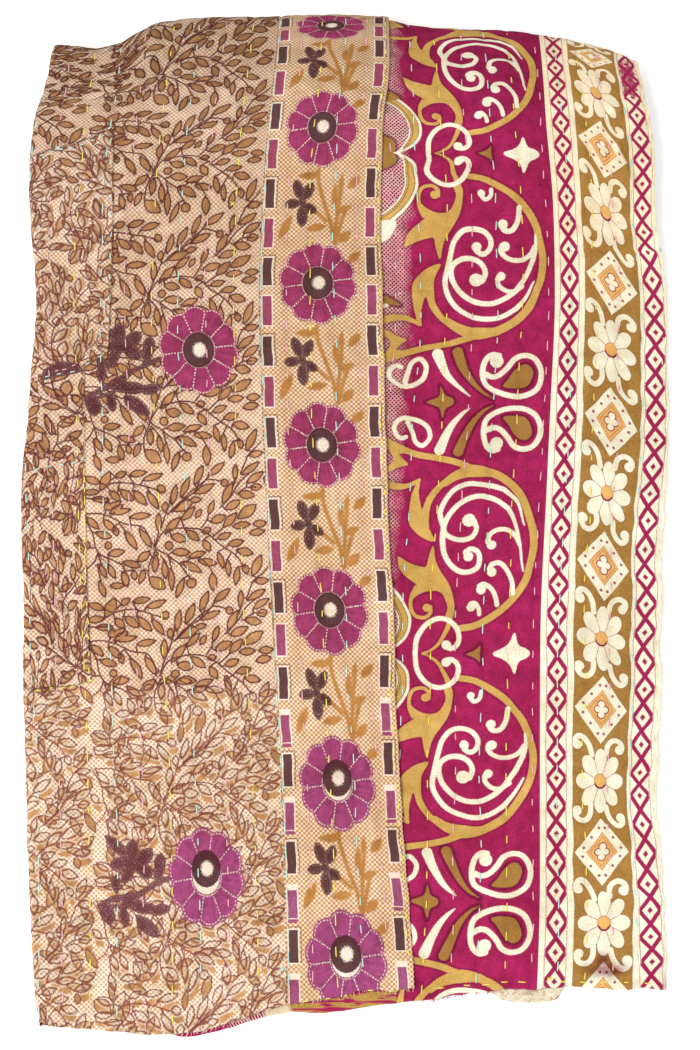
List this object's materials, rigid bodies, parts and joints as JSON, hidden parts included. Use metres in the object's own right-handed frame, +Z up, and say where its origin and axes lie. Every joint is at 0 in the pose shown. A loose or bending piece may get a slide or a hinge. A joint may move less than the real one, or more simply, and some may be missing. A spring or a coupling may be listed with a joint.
{
  "type": "kantha quilt",
  "caption": "Quilted cotton throw with a leaf print on one side and a scroll print on the other, folded lengthwise and once crosswise and laid flat.",
  "frame": {"origin": "middle of the folded throw's footprint, on the surface it lies on", "axes": "+X across the throw, from its lengthwise fold to its long hem; +Y along it, from its end hems to its crosswise fold; +Z up"},
  "size_m": [0.7181, 1.1581, 0.06],
  "materials": {
    "printed_cotton": "soft washed cotton, printed with leaves and flowers in brown, cream and magenta on one side and with cream and ochre scrolls on magenta on the other"
  },
  "bodies": {
    "root": {"quilt": "printed_cotton"}
  },
  "joints": []
}
